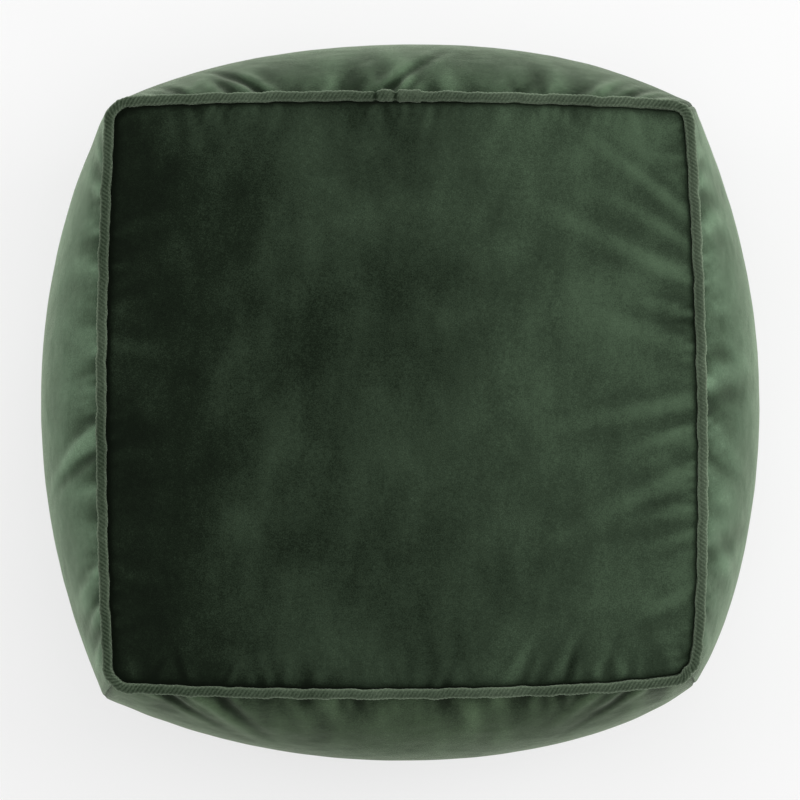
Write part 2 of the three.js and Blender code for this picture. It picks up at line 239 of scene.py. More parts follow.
floor_finish = Finish("pale_floor")
floor_tone = floor_finish.ramp(
    floor_finish.noise(3.0), (0.3, (0.25, 0.25, 0.25)), (0.7, (0.27, 0.27, 0.27))
)
reach = np.array([-FLOOR_REACH, FLOOR_REACH])
floor_x, floor_y = np.meshgrid(reach, reach)
floor = skin(
    "floor",
    np.stack([floor_x, floor_y, np.zeros((2, 2))], -1),
    floor_finish.surface(
        Base_Color=floor_tone,
        Roughness=0.9,
        Emission_Color=(1.0, 1.0, 1.0, 1.0),
        Emission_Strength=FLOOR_GLOW,
    ),
    body=None,
)
floor.data.flip_normals()
floor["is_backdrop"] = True

# ---------------------------------------------------------------------------------------------
# The cushion's form. Its piping runs round a square with bowed sides and round corners, and the
# filling swells every panel between its seams. A filled cover is never quite square, so the corners
# lie a little out of true.

BEAD = 4.0 * MM  # radius of the covered piping
RING_BOW = 7 * MM  # how much further out the piping is half way along a side
RING_CORNER = 14 * MM
RING_LIFT = 8 * MM  # rise of the top piping to its corners
CORNER_BULGE = 15 * MM  # how far a corner seam stands out, half way down
SIDE_BULGE = 50 * MM  # and how much further the middle of a side does
SIDE_SHAPES = [  # size, skew and squareness of the bulge, for the front, right, back and left
    (0.945, 0.03, 0.18), (0.915, 0.06, 0.11), (0.93, -0.115, 0.37), (0.958, -0.01, 0.12)
]
SIDE_SAG = 8 * MM  # of the widest part, below half way
SIDE_TURN = math.radians(55)  # lean of a side panel where it leaves its seam
SEAM_RADIUS = 2 * MM  # of a corner seam at its middle
CORNERS = {  # slip across and back, tuck inwards, and how far the corner seam stands out
    (-1, 1): (0.0, 3.0, 0.0, -2.0), (1, 1): (0.7, 0.5, 0.0, 2.0),
    (1, -1): (7.0, 1.5, 4.5, -1.0), (-1, -1): (0.0, -2.0, 0.5, 2.0),
}
WANDER = 0.22 * MM  # of the seams, as they were sewn

RING_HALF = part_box("top_piping_cover")[1][0] - BEAD - RING_BOW
TOP_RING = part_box("top_piping_cover")[1][2] - BEAD - RING_LIFT
BASE_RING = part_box("base_piping_cover")[0][2] + BEAD
CROWN_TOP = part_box("top_panel")[1][2]


def blend(a, b, share):
    """From a at share 0 to b at share 1, in a straight line."""
    return a + (b - a) * share


def smooth(low, high, value):
    """From 0 below low to 1 above high, with a soft start and stop."""
    share = np.clip((value - low) / (high - low), 0, 1)
    return share * share * (3 - 2 * share)


def outline(x, y, half, bow, radius):
    """Plan place of the unit square's points x, y on an outline with bowed sides. Squares round a
    corner's middle are drawn in to circles, which rounds it."""
    X = x * (half + bow * (1 - y**2))
    Y = y * (half + bow * (1 - x**2))
    a, b = np.abs(X) - half + radius, np.abs(Y) - half + radius
    corner = (a > 0) & (b > 0)
    pull = np.where(corner, np.maximum(a, b) / np.maximum(np.hypot(a, b), 1e-9), 1.0)
    X = np.where(corner, np.sign(X) * (half - radius + a * pull), X)
    Y = np.where(corner, np.sign(Y) * (half - radius + b * pull), Y)
    return X, Y


def slipped(x, y, X, Y, full=0.0):
    """Moves points by the corners' slips, tucks and, where the side is full, stands, each shared
    out across the unit square, and by the small wander of each seam."""
    for (sx, sy), (dx, dy, tuck, stand) in CORNERS.items():
        share = (1 + sx * x) * (1 + sy * y) / 4
        out = stand * full * share**12 - tuck * share**14
        X = X + (share * dx + sx * out) * MM
        Y = Y + (share * dy + sy * out) * MM
    wander = [
        WANDER * (np.sin(31 * c + 2) + np.sin(53 * c + 5) + 0.6 * np.sin(97 * c)) for c in (x, y)
    ]
    return X + wander[1] * (1 - full) * np.abs(x) ** 9, Y + wander[0] * (1 - full) * np.abs(y) ** 9


def fullness(share):
    """How far out a side is at a share of its height, along an arc: 0 at the seams, 1 between."""
    turn = np.arcsin((2 * share - 1) * math.sin(SIDE_TURN))
    return (np.cos(turn) - math.cos(SIDE_TURN)) / (1 - math.cos(SIDE_TURN))


def lift(x, y):
    """The top piping's rise: none half way along a side, and all of it at the corners."""
    return RING_LIFT * (x * y) ** 2


def seam(x, y):
    """The piping's place and its outward direction at points on the unit square's edge."""
    X, Y = outline(x, y, RING_HALF, RING_BOW, RING_CORNER)
    a, b = np.abs(X) - RING_HALF + RING_CORNER, np.abs(Y) - RING_HALF + RING_CORNER
    round_corner = (a > 0) & (b > 0)
    nx = np.where(round_corner, a, a > b)
    ny = np.where(round_corner, b, a <= b)
    size = np.hypot(nx, ny)
    X, Y = slipped(x, y, X, Y)
    return X, Y, np.sign(x) * nx / size, np.sign(y) * ny / size


def grid(across, up, low=(-1, -1), high=(1, 1)):
    """The x and y of a flat grid's points, evenly spaced from low to high."""
    return np.meshgrid(
        np.linspace(low[0], high[0], across + 1), np.linspace(low[1], high[1], up + 1)
    )


# ---------------------------------------------------------------------------------------------
# The velvet: a dark green woven ground under a short dense pile. The pile lies over in patches,
# which shows as lighter and darker areas, and it lights up where it is seen from the side. Light
# and shade are also painted into its colour: shade in seams and valleys, sheen on the piping, a
# gradient of light across each piece, and lighter copies for the side panels.


USUAL_SHADE = 0.42


def velvet(name, dark, light, lean=(0.0, 0.0), patchiness=1.0, sheen=0.5):
    """The pile's colour runs from dark to light with its patches, its painted shading and its lean
    per metre, a gradient painted across the piece for the light falling from one side and the
    pile's lean.
    """
    finish = Finish(name)
    parts = finish.add("SeparateXYZ", {}, {"Vector": finish.place()})
    y = Wire(finish, parts.socket.node.outputs[1])
    shade = (finish.noise(6.5, 3.0, 0.6) - 0.5) * (0.9 * patchiness)
    shade += (finish.noise(24.0, 4.0, 0.65, (1.0, 0.5, 0.7)) - 0.5) * (0.6 * patchiness)
    shade += (finish.noise(260.0, 3.0, 0.7) - 0.5) * 0.26
    shade += (finish.noise(1050.0, 2.0, 0.6) - 0.5) * 0.65
    # The pieces' painted shading: shade in seams and valleys, lighter ridges, and the piping's
    # painted sheen.
    shade += finish.add("Attribute", {"attribute_name": "nap"}, out=2)
    # A painted gradient of light, lighter towards the right and the back where the light falls
    # from, and the pile's lean.
    shade += parts * lean[0] + y * lean[1] + USUAL_SHADE
    middle = tuple(np.add(dark, light) * 0.36)
    deep = tuple(np.multiply(dark, 0.55))
    colour = finish.ramp(shade, (0.0, deep), (0.2, dark), (0.55, middle), (1.0, light))
    pile = finish.bump(finish.noise(900.0, 3.0, 0.7), 0.5 * MM, 0.5)
    lie = finish.bump(finish.noise(13.0, 3.0, 0.55), 10 * MM, 0.35, pile)
    return finish.surface(
        Base_Color=colour,
        Roughness=0.9,
        Normal=lie,
        Sheen_Weight=sheen,
        Sheen_Roughness=0.32,
        Sheen_Tint=(0.42, 0.50, 0.38, 1.0),
        Specular_IOR_Level=0.05,
    )


DARK_PILE, LIGHT_PILE = (0.0072, 0.0125, 0.0066), (0.066, 0.104, 0.062)
# The sides' velvets are lighter copies of the top's, painted for the sheen and light a side
# catches: lightest at the right and left, darker at the back, darkest at the front, which is in
# shade.
SIDE_DARK, SIDE_LIGHT = (0.037, 0.060, 0.035), (0.186, 0.290, 0.184)
velvets = {
    # The top's painted gradient runs strongly lighter towards the right, where the brightest lamp
    # stands.
    "top": velvet("velvet_top", DARK_PILE, LIGHT_PILE, (1.45, 0.15)),
    "front": velvet(
        "velvet_front", (0.013, 0.022, 0.011), (0.112, 0.174, 0.096), (0.3, 0.0), 0.8, 0.7
    ),
    "right": velvet("velvet_right", SIDE_DARK, SIDE_LIGHT, (0.0, 0.4), 0.8, 0.9),
    "back": velvet(
        "velvet_back", (0.013, 0.024, 0.012), (0.122, 0.192, 0.114), (0.2, 0.0), 0.8, 0.7
    ),
    "left": velvet("velvet_left", SIDE_DARK, SIDE_LIGHT, (0.0, 0.2), 0.8, 0.9),
    "base": velvet("velvet_base", DARK_PILE, LIGHT_PILE),
}

# ---------------------------------------------------------------------------------------------
# The top and side panels, cut from the velvet a little long for their seams, so that the filling's
# pressure gathers them along the piping. Each is a cloth, pinned along its seams and blown out,
# with its gathers and its longer folds laid over that.

WALL = 1.2 * MM
SEAM_ALONG, SEAM_ACROSS, SEAM_END = 4.3 * MM, 1.2 * MM, 14 * MM  # of a panel's bend and turned edge


def seam_step(along, across):
    """How far in and how far down a point of the top seam is, whose plane lies at 45 degrees."""
    return (along + across) / math.sqrt(2), (along - across) / math.sqrt(2)


INSET, DROP = seam_step(SEAM_ALONG, SEAM_ACROSS)
END_INSET, END_DROP = seam_step(SEAM_END, SEAM_ACROSS)
CREASE_SHADE, CREASE_REACH = -0.5, 2.4 * MM  # painted shade: the colour is darker along a seam, in its crease
SIDE_SHADE_SPREAD, SHADE_SPREAD_VARIES, LEAST_SHADE_SPREAD = 2.9, 2.1, 0.8  # and the painted shade reaches further, unevenly, on the sides, under the piping
TOP_FOLD_SHADING, SIDE_FOLD_SHADING = 0.21, 0.32  # and the colour is painted lighter on a ridge than in a valley, for the light and shade on the folds
FOLD_SCALE = 1.0 * MM  # height of a fold whose painted shading is nearly all of that
PUFF, PUFF_REACH = 6.5 * MM, 7 * MM  # quick rise of the top beside its seam
FINE = 240  # cells across a finished panel
COARSE, COARSE_UP = 110, 64  # cells of a panel while it is blown out
TOP_EASE, SIDE_EASE = 3 * MM, 5 * MM  # how near a panel's edges its folds fade
MEETING = 0.9998  # share of a side that its panel covers, which keeps it off the next panel


def top_form(x, y):
    """A low crown, with a quick rise beside the piping."""
    X, Y = outline(x, y, RING_HALF - INSET, RING_BOW, RING_CORNER - INSET)
    X, Y = slipped(x, y, X, Y)
    base = TOP_RING - DROP + lift(x, y)
    arch = (1 - np.abs(x) ** 2.6) * (1 - np.abs(y) ** 2.6)
    puff = [1 - np.exp(-(1 - np.abs(c)) * RING_HALF / PUFF_REACH) for c in (x, y)]
    Z = base + (CROWN_TOP - PUFF - TOP_RING + DROP) * arch + PUFF * puff[0] * puff[1]
    return np.stack([X, Y, Z], -1)


def side_form(side, t, lean):
    """An arc from seam to seam, bulging most half way along, at each place's lean from upright. A
    side's shape is its size, its skew along t and its squareness."""
    x, y = facing(side, t)
    size, skew, square = SIDE_SHAPES[side]
    bulge = SIDE_BULGE * size * (1 + skew * t) * (1 + square * t**2)
    share = (1 + np.sin(lean) / math.sin(SIDE_TURN)) / 2
    full = fullness(share)
    radius = blend(RING_CORNER, SEAM_RADIUS, full)
    half = RING_HALF - DROP + CORNER_BULGE * full
    X, Y = outline(x, y, half, RING_BOW + bulge * full, radius)
    X, Y = slipped(x, y, X, Y, full)
    low, high = BASE_RING + INSET, TOP_RING - INSET + lift(x, y)
    return np.stack([X, Y, blend(low, high, share) - SIDE_SAG * full], -1)


def facing(side, t):
    """The unit square's edge points of a side: the front one, turned by quarter turns."""
    edge = np.ones_like(t)
    return [(t, -edge), (edge, t), (-t, edge), (-edge, -t)][side]


def turned_in(points, x, y, sides_too):
    """Adds a panel's seam allowance: a line of points turned in beside the piping's strip."""
    margin = ((1, 1), (1, 1)) if sides_too else ((1, 1), (0, 0))
    x, y = np.pad(x, margin, "edge"), np.pad(y, margin, "edge")
    X, Y, nx, ny = seam(x, y)
    inset, drop = (END_INSET, END_DROP) if sides_too else (END_DROP, END_INSET)
    Z = TOP_RING + lift(x, y) - drop
    if not sides_too:
        Z[0] = BASE_RING + drop
    # The turned-in edge is painted dark, as the shade in the seam's crease.
    ends = np.stack([X - nx * inset, Y - ny * inset, Z, 0 * Z + CREASE_SHADE], -1)
    ends[(slice(1, -1), slice(1, -1)) if sides_too else slice(1, -1)] = points
    return ends


def smoothing(count, reach):
    """A matrix that averages count values in a row over about reach of them."""
    place = np.arange(count)
    weights = np.exp(-0.5 * ((place[:, None] - place[None]) / reach) ** 2)
    return weights / weights.sum(1, keepdims=True)


def refining(count, finer):
    """A matrix that draws a smooth curve through count values and reads it at finer places."""
    at = np.linspace(0, count - 1, finer)
    left = np.minimum(at.astype(int), count - 2)
    t = at - left
    weights = np.zeros((finer, count))
    for step, weight in [
        (-1, ((2 - t) * t - 1) * t / 2),
        (0, ((3 * t - 5) * t * t + 2) / 2),
        (1, ((4 - 3 * t) * t + 1) * t / 2),
        (2, (t - 1) * t * t / 2),
    ]:
        np.add.at(weights, (np.arange(finer), np.clip(left + step, 0, count - 1)), weight)
    return weights


def edge_distance(points, up_only=False):
    """Distance over the cloth from each point to the nearest edge: the length of its row or column
    up to there."""
    found = []
    for axis in (0,) if up_only else (0, 1):
        steps = np.linalg.norm(np.diff(points, axis=axis), axis=-1)
        run = np.insert(np.cumsum(steps, axis=axis), 0, 0.0, axis=axis)
        total = run[-1:] if axis == 0 else run[:, -1:]
        found.append(np.minimum(run, total - run))
    return np.minimum.reduce(found)


rng = np.random.default_rng(7)
CLOTH_FRAMES, PRESSURE = 26, 5.0
SLACK, EASED_WITHIN = 0.06, 70 * MM  # of the cloth along its seams, and how far in it reaches
SHAKE = 0.3 * MM  # unevenness that lets wrinkles start


def blown(forms):
    """Simulates the forms together as cloths pinned at their edges, and gives how each moved."""
    pieces = []
    for index, form in enumerate(forms):
        shaken = form.copy()
        shaken[1:-1, 1:-1] += rng.normal(0, SHAKE, form[1:-1, 1:-1].shape)
        piece = skin(f"blown_{index}", shaken, velvets["top"])
        distance = edge_distance(form).ravel()
        sewn = piece.vertex_groups.new(name="sewn")
        sewn.add(np.flatnonzero(distance == 0).tolist(), 1.0, "REPLACE")
        eased = piece.vertex_groups.new(name="eased")
        ease = np.clip(np.round((1 - distance / EASED_WITHIN) * 20), 0, 20).astype(int)
        for level in range(1, 21):
            eased.add(np.flatnonzero(ease == level).tolist(), level / 20, "REPLACE")
        cloth = piece.modifiers.new("cloth", "CLOTH").settings
        cloth.quality = 6
        cloth.mass = 0.3
        cloth.tension_stiffness = cloth.compression_stiffness = 22
        cloth.shear_stiffness = 15
        cloth.bending_stiffness = 2.0
        cloth.vertex_group_mass = "sewn"
        cloth.vertex_group_shrink = "eased"
        cloth.shrink_min, cloth.shrink_max = 0.0, -SLACK
        cloth.use_pressure = True
        cloth.uniform_pressure_force = PRESSURE
        cloth.effector_weights.gravity = 0
        pieces.append(piece)
    for number in range(1, CLOTH_FRAMES + 1):
        bpy.context.scene.frame_set(number)
    graph = bpy.context.evaluated_depsgraph_get()
    moves = []
    for piece, form in zip(pieces, forms):
        settled = np.empty(form.size, np.float32)
        piece.evaluated_get(graph).data.vertices.foreach_get("co", settled)
        moves.append(settled.reshape(form.shape) - form)
        bpy.data.objects.remove(piece)
    bpy.context.scene.frame_set(1)
    return moves


def on_grid(up, across, values):
    """Applies one matrix down a grid's columns and another along its rows."""
    return np.einsum("ij,jkc,lk->ilc", up, values, across, optimize=True)


BROAD, SMALL = 10.0, 1.3  # in coarse cells: wrinkles are what lies between these widths
MOVE_CAP = 2.6 * MM


def wrinkled(form, move):
    """The form with the blown cloth's wrinkles, but not its swelling, no further than the cap."""
    rows, columns = move.shape[:2]
    small = on_grid(smoothing(rows, SMALL), smoothing(columns, SMALL), move)
    broad = on_grid(smoothing(rows, BROAD), smoothing(columns, BROAD), move)
    wrinkles = small - broad
    size = np.linalg.norm(wrinkles, axis=-1, keepdims=True)
    wrinkles *= MOVE_CAP * np.tanh(size / MOVE_CAP) / np.maximum(size, 1e-9)
    i, j = np.meshgrid(np.arange(rows), np.arange(columns), indexing="ij")
    edge = np.minimum(np.minimum(i, rows - 1 - i), np.minimum(j, columns - 1 - j))
    wrinkles *= np.clip(edge / 3.0, 0, 1)[..., None]
    return form + on_grid(refining(rows, form.shape[0]), refining(columns, form.shape[1]), wrinkles)


def normals(points):
    """A grid's unit normals: the cross product of its two directions."""
    up = np.cross(np.gradient(points, axis=1), np.gradient(points, axis=0))
    return up / np.maximum(np.linalg.norm(up, axis=-1, keepdims=True), 1e-12)


def gathers(along, depth, pitch, reach, height):
    """Small folds across a seam: a random sum of waves along it, fading with depth behind it."""
    waves = rng.uniform(0.65, 1.6, 7), rng.uniform(0, 2 * math.pi, 7), rng.uniform(-0.5, 0.5, 7)
    row = sum(
        np.sin(2 * math.pi * (along + s * depth) / (w * pitch) + p) for w, p, s in zip(*waves)
    )
    strength = 0.5 + 0.5 * np.sin(2 * math.pi * along / 0.13 + rng.uniform(0, 6))
    return height * row / 2.6 * strength * (1 - np.exp(-depth / 0.003)) * np.exp(-depth / reach)


def folds(along, depth, listed):
    """Longer folds that leave a seam at a place, each a ridge between two shallow valleys, or where
    its height is negative a valley between two low ridges. They are listed as place, slant, width,
    reach and height, in millimetres."""
    total = 0.0
    for place, slant, width, reach, height in listed:
        across = (along / MM - place - slant * depth / MM) / width
        ridge = (1 - across**2) * np.exp(-(across**2) / 2)
        fade = (1 - np.exp(-depth / 0.005)) * np.exp(-((depth / MM / reach) ** 2))
        total = total + height * MM * ridge * fade
    return total


TOP_GATHERS = [(0.011, 0.009, 1.1 * MM), (0.027, 0.026, 0.8 * MM)]  # pitch, reach and height
SIDE_GATHERS = [(0.014, 0.013, 1.1 * MM), (0.036, 0.045, 1.3 * MM)]
TOP_STRENGTH = {"front": 0.8, "right": 0.9, "back": 0.6, "left": 0.6}  # of the gathers
FOLDS_BELOW = 0.5  # strength of a side's folds in its lower half
TOP_FOLDS = {
    "front": [
        (-186, 0.5, 3.5, 16, -1.1), (-160, -0.3, 3.5, 20, -1.3), (-133, 0.5, 3, 14, -1.0),
        (-60, 0.4, 7, 26, 0.5), (6, 0.2, 4, 16, -0.7), (78, 0.6, 5, 26, 1.0),
        (92, 0.4, 3.5, 18, -1.3), (114, 0.5, 5, 30, 1.1), (126, 0.2, 3.5, 20, -1.4),
        (152, 0.4, 4, 22, -1.3), (170, -0.4, 5, 20, 1.0),
    ],
    "right": [
        (134, 0.8, 7, 62, 1.2), (112, 0.6, 6, 48, 1.0), (84, 0.5, 8, 84, 1.3),
        (61, 0.2, 6, 44, 1.0), (33, 0.35, 9, 60, 0.8), (-4, -0.2, 7, 80, 1.2),
        (-24, -0.35, 5, 40, 1.0), (-55, -0.5, 9, 70, 1.2), (-83, -0.25, 6, 52, 1.0),
        (-104, -0.3, 5, 30, 0.9), (-146, -0.5, 6, 34, 0.9),
    ],
    "back": [
        (-160, 0.2, 5, 24, 0.7), (-90, -0.3, 6, 30, 0.6), (-22, 0.3, 5, 26, 0.8),
        (24, -0.2, 5, 28, 0.8), (120, 0.4, 6, 30, 0.7), (176, 0.2, 5, 22, 0.8),
    ],
    "left": [
        (120, 0.3, 6, 34, 0.6), (40, -0.2, 7, 36, 0.6), (-52, 0.3, 6, 36, 0.6),
        (-130, -0.3, 6, 28, 0.7),
    ],
}
SIDE_FOLDS = {
    "front": [
        (-186, 0.7, 6, 46, -2.2), (-160, 0.6, 8, 60, 2.0), (-140, 0.5, 6, 40, -1.4),
        (-84, 0.3, 8, 34, 0.9), (-20, -0.2, 11, 40, -0.7), (46, 0.3, 9, 36, 0.8),
        (118, -0.3, 9, 34, -0.9), (156, -0.6, 8, 44, 1.4), (184, -0.7, 6, 46, -1.8),
    ],
    "right": [
        (164, 0.5, 6, 36, -0.8), (122, 0.4, 9, 44, 0.6), (70, 0.2, 8, 34, -0.5),
        (-20, -0.5, 9, 54, 0.7), (-46, -0.3, 6, 40, -0.7), (-92, -0.7, 10, 60, 0.8),
        (-128, -0.4, 7, 40, -0.7), (-168, -0.5, 7, 40, 0.8),
    ],
    "back": [
        (-178, -0.6, 7, 44, 1.6), (-154, -0.6, 6, 42, -2.0), (-120, -0.5, 6, 36, -1.9),
        (-97, -0.7, 6, 52, -2.9), (-38, 0.1, 10, 60, -1.4), (-15, 0.6, 6, 52, -2.6),
        (2, 0.4, 5, 34, -1.8), (44, -0.2, 9, 34, 0.8), (96, 0.3, 10, 44, -1.1),
        (142, 0.5, 7, 48, 1.8), (164, 0.6, 6, 44, -2.2), (186, 0.7, 6, 40, 1.6),
    ],
    "left": [
        (176, 0.6, 6, 46, -1.6), (150, 0.4, 8, 44, 1.2), (112, 0.1, 7, 34, -1.0),
        (66, 0.2, 9, 44, 0.9), (24, -0.2, 6, 30, -1.1), (-22, -0.5, 7, 62, 1.8),
        (-40, -0.4, 5, 46, -1.9), (-88, 0.1, 9, 36, -1.0), (-128, -0.5, 7, 50, 1.5),
        (-148, -0.5, 6, 44, -1.8), (-176, -0.6, 7, 46, 1.4),
    ],
}

SIDES = ["front", "right", "back", "left"]
RISE = np.linspace(-SIDE_TURN, SIDE_TURN, 131)
coarse = grid(COARSE, COARSE)
leans = np.linspace(-SIDE_TURN, SIDE_TURN, COARSE_UP + 1)
side_grids = [
    np.meshgrid(np.linspace(-1, 1, cells + 1) * MEETING, up)
    for cells, up in ((COARSE, leans), (FINE, RISE))
]
rough_forms = [top_form(*coarse)]
rough_forms += [side_form(side, *side_grids[0]) for side in range(4)]
moves = blown(rough_forms)


def velvet_panel(name, node, points, cloth):
    """A finished panel with its wall inwards, which stands for its solid in the frame."""
    panel = skin(name, points, velvets[cloth])
    wall = panel.modifiers.new("pile_and_ground", "SOLIDIFY")
    wall.thickness, wall.offset = WALL, -1.0
    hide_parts(node)


def gathered(form, rise, ease, fold_shading, shade_spread=1.0):
    """Raises a form along its normals, less within ease of its edges, and adds its painted shading:
    lighter on ridges, darker in valleys and along the seam. Shade spread is how many times further
    the painted shade beside the seam reaches."""
    distance = edge_distance(form)
    rise = rise * np.clip(distance / ease, 0, 1)
    nap = fold_shading * np.tanh(rise / FOLD_SCALE)
    nap = nap + CREASE_SHADE * np.exp(-distance / (CREASE_REACH * shade_spread))
    return np.concatenate([form + normals(form) * rise[..., None], nap[..., None]], -1)


x, y = grid(FINE, FINE)
top = wrinkled(top_form(x, y), moves[0])
rise = 0.0
for side, along, depth in (
    ("front", top[..., 0], 1 + y), ("right", top[..., 1], 1 - x),
    ("back", top[..., 0], 1 - y), ("left", top[..., 1], 1 + x),
):
    depth = depth * RING_HALF
    for pitch, reach, height in TOP_GATHERS:
        rise = rise + gathers(along, depth, pitch, reach, height * TOP_STRENGTH[side])
    rise = rise + folds(along, depth, TOP_FOLDS[side])
top = turned_in(gathered(top, rise, TOP_EASE, TOP_FOLD_SHADING), x, y, True)
velvet_panel("top_velvet_panel", "top_panel", top, "top")

for side, name in enumerate(SIDES):
    t, lean = side_grids[1]
    panel = wrinkled(side_form(side, t, lean), moves[1 + side])
    depth = edge_distance(panel, True)
    along = panel[..., side % 2]
    rise = sum(gathers(along, depth, *sizes) for sizes in SIDE_GATHERS)
    rise = rise + folds(along, depth, SIDE_FOLDS[name]) * np.where(lean > 0, 1.0, FOLDS_BELOW)
    # Painted shade under the piping: on the sides it reaches unevenly further from the seam.
    waves = ((0.0024, side), (0.0052, 2 + side), (0.013, 4 - side))
    shade_spread = SIDE_SHADE_SPREAD + SHADE_SPREAD_VARIES * sum(np.sin(along / w + p) for w, p in waves) / 1.7
    panel = gathered(panel, rise, SIDE_EASE, SIDE_FOLD_SHADING, np.clip(shade_spread, LEAST_SHADE_SPREAD, None))
    panel = turned_in(panel, *facing(side, t), False)
    velvet_panel(f"{name}_velvet_panel", f"side_panel_{name}", panel, name)

# ---------------------------------------------------------------------------------------------
# Piping: a bias strip of the velvet wrapped tight round a soft cotton cord, with its two edges
# sewn into the seam. Its ends lap near the middle of the back, one folded over the other, and the
# cloth beside the lap bunches into a lump.

STRIP = 0.8 * MM
CORD = 2.4 * MM
NEAR, FAR = 0.2 * MM, 0.2 * MM + STRIP  # of the strip's edges from the seam's plane
RIB_PITCH, RIB_HEIGHT, RIB_SLANT = 3.2 * MM, 0.2 * MM, 5.0
LAP_START, LAP_END = -1.5 * MM, 16.5 * MM  # from the middle of the back, to the right
WAIST = 1.0 * MM  # depth of the dips at the lap's start and beyond the lump
LAP_RISE = {"top": 1.1 * MM, "base": 0.25 * MM}  # the base's is pressed flat by the floor
LUMP, LUMP_REACH = -10.5 * MM, 6.5 * MM  # the folded end bunches up beside the lap
CREST_SHADE, FLANK_SHEEN = -0.26, 0.26  # painted shade along the top of the cord, painted sheen down its flanks

# Its velvet runs lighter than the top's, for the painted sheen on its flanks.
piping_velvet = velvet(
    "velvet_piping", (0.018, 0.029, 0.016), (0.150, 0.200, 0.135), (0.35, 0.1), 0.6, 0.8
)

cotton = Finish("cotton_cord")
cotton_tone = cotton.ramp(
    cotton.noise(900.0, 3.0), (0.3, (0.62, 0.58, 0.50)), (0.7, (0.80, 0.77, 0.70))
)
cotton_cord = cotton.surface(
    Base_Color=cotton_tone, Roughness=0.95, Normal=cotton.bump(cotton.noise(1500.0, 3.0), 0.3 * MM)
)


def ring(count):
    """Unit-square points once round from the middle of the back, anticlockwise, spaced closer at
    the corners."""
    s = np.arange(count) / count * 8 + 1
    side, t = (s // 2).astype(int) % 4, s % 2 - 1
    t = t + 0.12 * np.sin(math.pi * t)
    one = np.ones_like(t)
    return [np.choose(side, options) for options in ([-t, -one, t, one], [one, -t, -one, t])]


def round_the_seam(count, radius, angle, is_top, nap=0.0):
    """A section in the seam's own plane, at 45 degrees, carried once round the top or base seam.
    Angles are measured at the cord's centre from straight in."""
    x, y = ring(count)
    X, Y, nx, ny = (c[:, None] for c in seam(x, y))
    along, across = radius * np.cos(angle), radius * np.sin(angle)
    out, up = -(along + across) / math.sqrt(2), (across - along) / math.sqrt(2)
    level = (TOP_RING + lift(x, y) if is_top else np.full(count, BASE_RING))[:, None]
    points = [X + nx * out, Y + ny * out, level + (up if is_top else -up)]
    return np.stack(np.broadcast_arrays(*points, nap), -1)


def run_round(count):
    """The distance run along the seam at each of its points, from the middle of the back."""
    X, Y = seam(*ring(count))[:2]
    return np.cumsum(np.hypot(np.diff(X, prepend=X[0]), np.diff(Y, prepend=Y[0])))[:, None]


COUNT = 2600  # sections round a ring of piping
WRAPPED = 3.75 * MM  # radius of the velvet where it is pulled tight round its cord
for level, is_top in (("top", True), ("base", False)):
    outer = np.linspace(math.asin(FAR / WRAPPED), 2 * math.pi - math.asin(FAR / WRAPPED), 27)
    inside = math.asin(NEAR / (WRAPPED - STRIP))
    inner = np.linspace(2 * math.pi - inside, inside, 5)
    tip = math.hypot(SEAM_END, FAR), math.hypot(SEAM_END, NEAR)
    far, near = math.atan2(FAR, SEAM_END), math.atan2(NEAR, SEAM_END)
    angle = np.concatenate([[far], outer, [-far, -near], inner, [near]])
    base = np.concatenate([
        [tip[0]], 0 * outer + WRAPPED, [tip[0], tip[1]], 0 * inner + WRAPPED - STRIP, [tip[1]],
    ])
    run = run_round(COUNT)
    total = run[-1] + run[1]
    place = np.where(run > total / 2, total - run, -run)  # along +X from the middle of the back
    on_bead = np.isclose(base, WRAPPED)
    lap = smooth(LAP_START, LAP_START + MM, place) * (1 - smooth(LAP_END - MM, LAP_END, place))
    dips = LAP_START - 1.6 * MM, LUMP - 8 * MM
    waist = sum(np.exp(-(((place - at) / (1.4 * MM)) ** 2)) for at in dips)
    lump = np.exp(-(((place - LUMP) / LUMP_REACH) ** 4))
    lump = lump * (0.8 + 0.3 * np.sin(place / (1.1 * MM) + 2 * angle))
    ribs = np.sin(2 * math.pi * run / RIB_PITCH + RIB_SLANT * angle) * (1 - 0.55 * lap)
    drift = (0.047, 1), (0.021, 4), (0.0113, 2)
    uneven = sum(np.sin(2 * math.pi * run / w + p) for w, p in drift)
    corner = np.exp(-(((np.abs((run / total * 4) % 1 - 0.5) * total / 4) / (9 * MM)) ** 2))
    tucks = np.sin(2 * math.pi * run / (5.5 * MM) + 1.3 * angle) * corner
    # Painted light on the piping: sheen down its flanks, darker along its top, lighter on each
    # rib's crest than between, darker in the dips either side of the lap, and a little darker over
    # the lap.
    crest = (np.sin(angle) - np.cos(angle)) / math.sqrt(2)
    nap = FLANK_SHEEN + CREST_SHADE * smooth(0.60, 0.88, crest) * (1 - 0.3 * lap)
    nap = nap + 0.14 * ribs - 0.4 * waist - 0.08 * lap
    swell = RIB_HEIGHT * ribs + 0.14 * MM * uneven + 0.28 * MM * tucks - WAIST * waist
    swell = swell + LAP_RISE[level] * (lap + 0.7 * lump)
    radius = base + np.where(on_bead, swell, 0.0)
    cover = skin(
        f"{level}_piping",
        round_the_seam(COUNT, radius, angle, is_top, nap),
        piping_velvet,
        wrap=(True, True),
    )
    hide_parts(f"{level}_piping_cover")
    turns = np.linspace(0, 2 * math.pi, 13)[:-1]
    strands = np.abs(np.sin(1.5 * turns + math.pi * run[::3][: COUNT // 3] / (9 * MM)))
    cord = skin(
        f"{level}_cord",
        round_the_seam(COUNT // 3, CORD - 0.45 * MM * (1 - strands), turns, is_top),
        cotton_cord,
        wrap=(True, True),
    )
    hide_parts(f"{level}_piping_cord")

# ---------------------------------------------------------------------------------------------
# The base: two halves of the velvet, each folded under along the zip and seamed edge to edge past
# its ends. A shallow groove keeps the zip clear of the floor.

